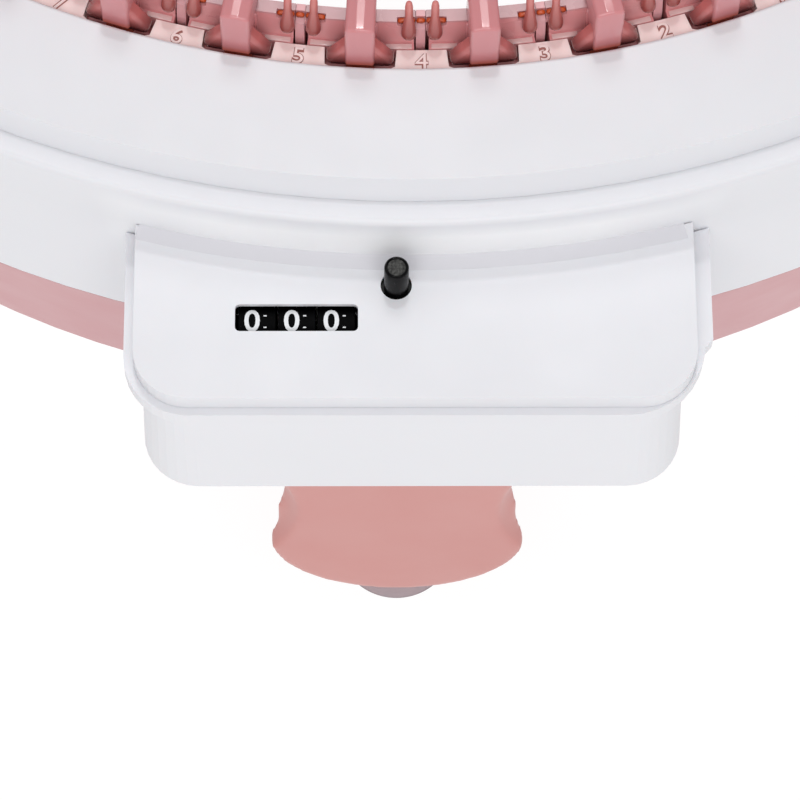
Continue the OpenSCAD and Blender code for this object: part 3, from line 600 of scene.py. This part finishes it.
def make_fins():
    """Upright fins with a flat ridge and a root on the wall, and a gusset on each side."""
    body = ridged(FIN_HALF, FIN_LOW, FIN_TOP, RIDGE_HALF, RIDGE_LEAN, 0.8 * MM, 0.45 * MM)
    fin = rounded_bar(body, FIN_BACK, FIN_FRONT, 1.2 * MM, 0.5 * MM)
    right = [(3.2 * MM, GUSSET_FOOT), (4.6 * MM, GUSSET_LOW), (5.0 * MM, GUSSET_WIDEST),
             (1.9 * MM, GUSSET_TOP)]
    gusset = fillet(right + [(-u, v) for u, v in right[::-1]], 0.7 * MM)
    wing = rounded_bar(gusset, FIN_FRONT - 2.55 * MM, FIN_FRONT - 0.45 * MM, 0.25 * MM, 0.75 * MM)
    foot_back, foot_front, foot_top = LIP_R + 0.1 * MM, FIN_FRONT - 1.4 * MM, BED - 0.6 * MM
    foot = upright_slab([(foot_back, FIN_FOOT), (foot_front, FIN_FOOT),
                         (foot_front, foot_top), (foot_back, foot_top)], FIN_HALF - 0.1 * MM)
    seat, head = LIP_TOP + 0.1 * MM, LEDGE - 0.1 * MM
    root = upright_slab([(wall_at(seat) + 0.1 * MM, seat), (wall_at(seat) + 0.7 * MM, seat),
                         (DRUM_R + 0.6 * MM, head), (DRUM_R + 0.1 * MM, head)], ROOT_HALF)
    edges = [e for e in root.edges if e.calc_face_angle(0) > math.radians(25)]
    bmesh.ops.bevel(root, geom=edges, offset=0.15 * MM, segments=2, profile=0.5,
                    affect="EDGES", clamp_overlap=True)
    one = bmesh.new()
    for part in (fin, foot, root):
        one.from_mesh(mesh_from(part, "part"))
    fins = repeated(mesh_from(one, "one_fin"), FIN_TURNS, "bed_fins")
    piece = add_piece("bed_fins", fins, "rose_bed", "drum", FIN_ROSE_PAINTED_GLOW, sharp=50)
    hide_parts("fins")
    wings = repeated(mesh_from(wing, "one_wing"), FIN_TURNS, "fin_wings")
    add_piece("fin_wings", wings, "rose_bed", "drum", WING_ROSE_PAINTED_SHADE, sharp=50)


def finger_stations(length):
    """Places along a finger with its radius at each: round tip, slim waist, swollen foot."""
    tip_r, waist_r, foot_r = FINGER_RADII
    stations = [(-tip_r * math.sin(math.radians(a)), tip_r * math.cos(math.radians(a)))
                for a in (88, 60, 35, 12)]
    for i in range(1, 11):
        t = i / 11
        swell = max(0, (t - 0.35) / 0.65)
        stations.append((length * t,
                         waist_r + (foot_r - waist_r) * swell * swell * (3 - 2 * swell)))
    stations += [(length + foot_r * math.sin(math.radians(a)), foot_r * math.cos(math.radians(a)))
                 for a in (5, 30, 55, 75, 88)]
    return stations


def make_fingers():
    """Two slim round fingers beside each needle, swelling to a drop at the foot."""
    along = (FINGER_FOOT - FINGER_TIP).normalized()
    across = Vector((-along.y, along.x))
    turns = [2 * math.pi * k / 16 for k in range(16)]
    finger = bmesh.new()
    rings = []
    for reach, r in finger_stations((FINGER_FOOT - FINGER_TIP).length):
        centre = FINGER_TIP + along * reach
        outs = [centre + across * r * math.cos(t) for t in turns]
        rings.append([finger.verts.new((out.x, r * math.sin(t), out.y))
                      for out, t in zip(outs, turns)])
    skin_over(finger, rings)
    cap_ends(finger, rings)
    mesh = mesh_from(finger, "finger")
    pair = bmesh.new()
    for side in (-FINGER_APART, FINGER_APART):
        one = mesh.copy()
        one.transform(Matrix.Translation((0, side, 0)))
        pair.from_mesh(one)
    fingers = repeated(mesh_from(pair, "pair"), NEEDLE_TURNS, "yarn_fingers")
    piece = add_piece("yarn_fingers", fingers, "rose_bed", "drum", FINGER_ROSE_PAINTED_SHADE, sharp=80)
    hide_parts("guide_fingers")


def lining_bar(start, stop, turns, name):
    """Rounded bar in the cross slot behind the fingers, between two tangential places."""
    r = GLOW_BAR_HALF
    outline = arc((stop - r, 0), r, -90, 90, 6) + arc((start + r, 0), r, 90, 270, 6)
    outline = [(x, y + LEDGE - 0.5 * MM) for x, y in outline]
    bar = rounded_bar(outline, DRUM_R - 0.82 * MM, DRUM_R - 0.12 * MM, 0.3 * MM, 0.3 * MM, 4)
    return repeated(mesh_from(bar, "glow_bar_mesh"), turns, name)


def make_notch_linings():
    """Orange bar in each cross slot, a painted glow of light let through the plastic with painted
    shade at its foot, parted where the needle slides through it.

    The short middle bar of a needle that can rise rides on that needle.
    """
    left, right = NEEDLE_SIDE - SHANK_GAP, NEEDLE_SIDE + SHANK_GAP
    for name, start, stop in (("notch_glow_bars_left", -GLOW_BAR_END, left),
                              ("notch_glow_bars_right", right, GLOW_BAR_END)):
        mesh = lining_bar(start, stop, NEEDLE_TURNS, name)
        add_piece(name, mesh, "rose_bed", "drum", NOTCH_PAINTED_GLOW)
    for number in MOVING_NEEDLES:
        needle = "needle_%d" % number
        mesh = lining_bar(NEEDLE_SIDE - SHANK_HALF, NEEDLE_SIDE + SHANK_HALF,
                          [NEEDLE_TURNS[number - 1]], needle + "_lining")
        body = body_of(bpy.data.objects[needle])[0]
        add_piece(needle + "_lining", mesh, "rose_bed", body, NOTCH_PAINTED_GLOW)


def make_lip_pads():
    """Pale pads along the foot of the wall, one on each side of a needle, their paleness painted
    light on that strip.
    """
    pads = bmesh.new()
    for side in (-1, 1):
        low, high = sorted(side * place for place in PAD_SIDES)
        outline = [(low, LIP_TOP), (high, LIP_TOP), (high, LIP_TOP + PAD_H), (low, LIP_TOP + PAD_H)]
        pad = rounded_bar(outline, DRUM_R + WALL_LEAN + 0.12 * MM, LIP_R - 0.06 * MM,
                          0.05 * MM, 0.05 * MM, 2)
        pads.from_mesh(mesh_from(pad, "pad"))
    whole = repeated(mesh_from(pads, "pads"), NEEDLE_TURNS, "lip_pads")
    add_piece("lip_pads", whole, "rose_bed", "drum", LIP_ROSE_PAINTED_LIGHT)


def figure_mesh(text, size, depth, bolder=0.0):
    """Mesh of a figure as tall as size, centred on the origin; bolder widens its strokes."""
    curve = bpy.data.curves.new("figure", "FONT")
    curve.body = text
    curve.size = 1
    curve.align_x = "CENTER"
    curve.offset = bolder
    curve.resolution_u = 4
    curve.extrude = 0.5
    holder = bpy.data.objects.new("figure", curve)
    bpy.context.collection.objects.link(holder)
    bpy.context.view_layer.update()
    drawn = holder.evaluated_get(bpy.context.evaluated_depsgraph_get())
    mesh = bpy.data.meshes.new_from_object(drawn)
    bpy.data.objects.remove(holder)
    ys = [v.co.y for v in mesh.vertices]
    zs = [v.co.z for v in mesh.vertices]
    scale = size / (max(ys) - min(ys))
    middle = (max(ys) + min(ys)) / 2
    mesh.transform(Matrix.Diagonal((scale, scale, depth / (max(zs) - min(zs)), 1))
                   @ Matrix.Translation((0, -middle, 0)))
    return mesh


def make_plate_numbers():
    """Raised needle numbers that read from outside the ring: a dark flank under a pale top, the
    flank painted shade along each figure's edge.
    """
    for name, bolder, depth, material in (("number_flanks", 0.055, 0.14 * MM, FIGURE_EDGE_SHADE),
                                          ("number_tops", 0.0, 0.24 * MM, None)):
        whole = bmesh.new()
        place = (Matrix.Translation((FIGURE_R, 0, PLATE_TOP + depth / 2))
                 @ Matrix.Rotation(math.pi / 2, 4, "Z")
                 @ Matrix.Diagonal((FIGURE_WIDEN, 1, 1, 1)))
        for number, turn in enumerate(NEEDLE_TURNS, start=1):
            mesh = figure_mesh(str(number), FIGURE_H, depth, bolder)
            mesh.transform(Matrix.Rotation(turn, 4, "Z") @ place)
            whole.from_mesh(mesh)
            bpy.data.meshes.remove(mesh)
        add_piece(name, mesh_from(whole, name), "number_plates", "drum", material)


# ---------------------------------------------------------------- counter

WHEELS = ("wheel_hundreds", "wheel_tens", "wheel_units")
DIGIT_H = 3.55 * MM
DIGIT_W = 2.5 * MM
DIGIT_DEPTH = 0.12 * MM
DIGIT_LIFT = 0.02 * MM
DIGIT_BOLDER = 0.016
DIGIT_LEAN = math.radians(0.8)
DIGIT_SHIFT = -0.72 * MM
TICK_SIZE = (0.45 * MM, 0.18 * MM, DIGIT_DEPTH)
TICK_PLACE = 1.9 * MM
TICK_HEIGHTS = (0.75 * MM, -1.1 * MM)
BUTTON_R = 1.8 * MM
BUTTON_COLLAR_DOWN = 8.8 * MM
SEAM_PROFILE = ((161.45, -0.6), (164.1, -0.6), (164.1, 0.02), (164.0, 0.06), (161.9, 0.06),
                (161.7, 0.14), (161.45, 0.16))
SEAM_START, SEAM_SWEEP, SEAM_STEPS = -14.3, 28.8, 60


def make_wheel_figures(node):
    """Ten figures with two small ticks beside each, wrapped round one digit wheel."""
    low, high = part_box(node)
    centre = (low + high) / 2
    radius = (high.z - low.z) / 2
    whole = bmesh.new()
    for digit in range(10):
        mesh = figure_mesh(str(digit), DIGIT_H, DIGIT_DEPTH, DIGIT_BOLDER)
        width = max(v.co.x for v in mesh.vertices) - min(v.co.x for v in mesh.vertices)
        narrow = min(1, DIGIT_W / width)
        mesh.transform(Matrix.Translation((DIGIT_SHIFT, 0, 0)) @ Matrix.Diagonal((narrow, 1, 1, 1)))
        bm = bmesh.new()
        bm.from_mesh(mesh)
        for height in TICK_HEIGHTS:
            tick = bmesh.ops.create_cube(bm, size=1)["verts"]
            bmesh.ops.scale(bm, vec=TICK_SIZE, verts=tick)
            bmesh.ops.translate(bm, vec=(TICK_PLACE + DIGIT_SHIFT, height, 0), verts=tick)
        roll = DIGIT_LEAN - digit * 2 * math.pi / 10
        for v in bm.verts:
            x, y, z = v.co
            angle = roll + y / radius
            reach = radius + z + DIGIT_LIFT
            v.co = (centre.x + x, centre.y + reach * math.sin(angle),
                    centre.z + reach * math.cos(angle))
        whole.from_mesh(mesh_from(bm, "digit"))
    name = node + "_figures"
    add_piece(name, mesh_from(whole, name), "black_plastic", node, FIGURE_WHITE)


def make_button():
    """Reset button with a glossy rounded rim round a rough pad."""
    low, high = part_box("reset_button")
    centre = ((low.x + high.x) / 2, (low.y + high.y) / 2, low.z)
    h = high.z - low.z
    r = BUTTON_R
    collar = h - BUTTON_COLLAR_DOWN
    profile = [(0, 0), (1.2 * MM, 0), (1.2 * MM, collar), (3 * MM, collar),
               (3 * MM, collar + 2 * MM), (r, collar + 2 * MM), (r, h - 0.35 * MM),
               (r - 0.1 * MM, h - 0.1 * MM), (r - 0.25 * MM, h), (r - 0.4 * MM, h - 0.1 * MM),
               (r - 0.5 * MM, h - 0.4 * MM), (0, h - 0.4 * MM)]
    piece = add_piece("button_body", mesh_from(lathe(profile, 64, centre), "button_body"),
                      "black_plastic", "reset_button", BUTTON_GLOSS, sharp=35)
    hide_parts("reset_button")
    pad_r = r - 0.47 * MM
    pad = [(0, h - 0.45 * MM), (pad_r, h - 0.45 * MM), (pad_r, h - 0.2 * MM),
           (pad_r - 0.15 * MM, h - 0.12 * MM), (0.6 * MM, h - 0.06 * MM), (0, h - 0.05 * MM)]
    add_piece("button_pad", mesh_from(lathe(pad, 64, centre), "button_pad"),
              "black_plastic", "reset_button", BUTTON_GRIT)


def make_lid_seam():
    """Grey strip that closes the joint between the ring wall and the lid, its grey a painted shadow
    for the band of shade the ring wall casts on the lid.
    """
    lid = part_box("counter_lid")[1].z
    turns = [FRONT + math.radians(SEAM_START + SEAM_SWEEP * i / SEAM_STEPS)
             for i in range(SEAM_STEPS + 1)]
    bm, rings = swept([(r * MM, z * MM) for r, z in SEAM_PROFILE], turns, (0, 0, lid))
    skin_over(bm, rings)
    cap_ends(bm, rings)
    add_piece("lid_shadow_strip", mesh_from(bm, "lid_shadow_strip"), "white_shell", "housing", SEAM_PAINTED_SHADOW)


# ---------------------------------------------------------------- feet

CUPS = ("cup_front", "cup_right", "cup_back", "cup_left")
CUP_STEM_TOP = 12.9 * MM


def make_cup(node):
    """Soft suction cup with a thin flared lip."""
    low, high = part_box(node)
    centre = ((low.x + high.x) / 2, (low.y + high.y) / 2, low.z)
    r = (high.x - low.x) / 2
    hollow = [(0, 2.5 * MM), (3.6 * MM, 2.3 * MM), (r - 2.2 * MM, 0.7 * MM), (r - 0.9 * MM, 0.0)]
    lip = [(r - 0.3 * MM, 0.02 * MM), (r, 0.35 * MM), (r - 0.15 * MM, 0.75 * MM)]
    dome = [(r - 1.2 * MM, 1.6 * MM), (r - 3.0 * MM, 3.2 * MM), (5.0 * MM, 4.8 * MM),
            (3.4 * MM, 5.5 * MM)]
    stem = [(2.5 * MM, 5.7 * MM), (2.5 * MM, CUP_STEM_TOP), (0, CUP_STEM_TOP)]
    name = node + "_skin"
    piece = add_piece(name, mesh_from(lathe(hollow + lip + dome + stem, 96, centre), name),
                      "cup_vinyl", "housing", sharp=60)
    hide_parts(node)


# ---------------------------------------------------------------- carried-over parts

# width of the rounded edges in millimetres, and their steps
EDGE = {
    "top_cover": (0.25, 3), "outer_housing": (0.35, 3), "base_shell": (0.5, 3),
    "counter_box": (0.5, 4), "counter_lid": (0.6, 5), "crank_arm": (0.8, 4),
    "crank_bushing": (0.6, 3), "crank_knob": (0.3, 2), "yarn_post": (0.5, 3),
    "yarn_feeder": (0.6, 3), "tension_lever": (0.5, 3), "mode_knob": (0.5, 3),
    "needle_drum": (0.1, 2), "needles_fixed": (0.2, 2), "trip_lever": (0.3, 2),
    "counter_frame": (0.2, 2),
}
PLAIN_EDGE = (0.15, 2)
EDGE_LEAST = math.radians(28)
LEGS = ("leg_front", "leg_right", "leg_back", "leg_left")
LEG_VOXEL = 0.6 * MM
LEG_SMOOTHING = 14
# The outer housing gets painted light low on its front; the needle drum gets a painted sheen and
# painted light.
NODE_LOOKS = {"needle_drum": DRUM_ROSE_PAINTED_SHEEN, "outer_housing": clean_wall("clean_wall")}


def soften_leg(node):
    """Melts the edges of a leg softer than a bevel can."""
    grid = node.modifiers.new("even_grid", "REMESH")
    grid.mode = "VOXEL"
    grid.voxel_size = LEG_VOXEL
    grid.use_smooth_shade = True
    melt = node.modifiers.new("melted_edges", "SMOOTH")
    melt.factor = 0.5
    melt.iterations = LEG_SMOOTHING


def dress_node(name, node):
    """Gives a CAD part its material and soft moulded edges."""
    slot = next(p["material_slot"] for p in frame["record"]["subparts"] if p["node"] == name)
    node.data.materials.clear()
    node.data.materials.append(NODE_LOOKS.get(name, LOOKS[slot]))
    if name in LEGS:
        soften_leg(node)
        return
    if name.startswith("wheel_") or slot in ("steel", "elastic"):
        return
    width, steps = EDGE.get(name, PLAIN_EDGE)
    bevel = node.modifiers.new("soft_edges", "BEVEL")
    bevel.width = width * MM
    bevel.segments = steps
    bevel.limit_method = "ANGLE"
    bevel.angle_limit = EDGE_LEAST
    bevel.harden_normals = False


# ---------------------------------------------------------------- the whole

for name, node in nodes.items():
    dress_node(name, node)

make_camera()
make_studio()
make_floor()
make_fins()
make_fingers()
make_notch_linings()
make_lip_pads()
make_plate_numbers()
for wheel in WHEELS:
    make_wheel_figures(wheel)
make_button()
make_lid_seam()
for cup in CUPS:
    make_cup(cup)
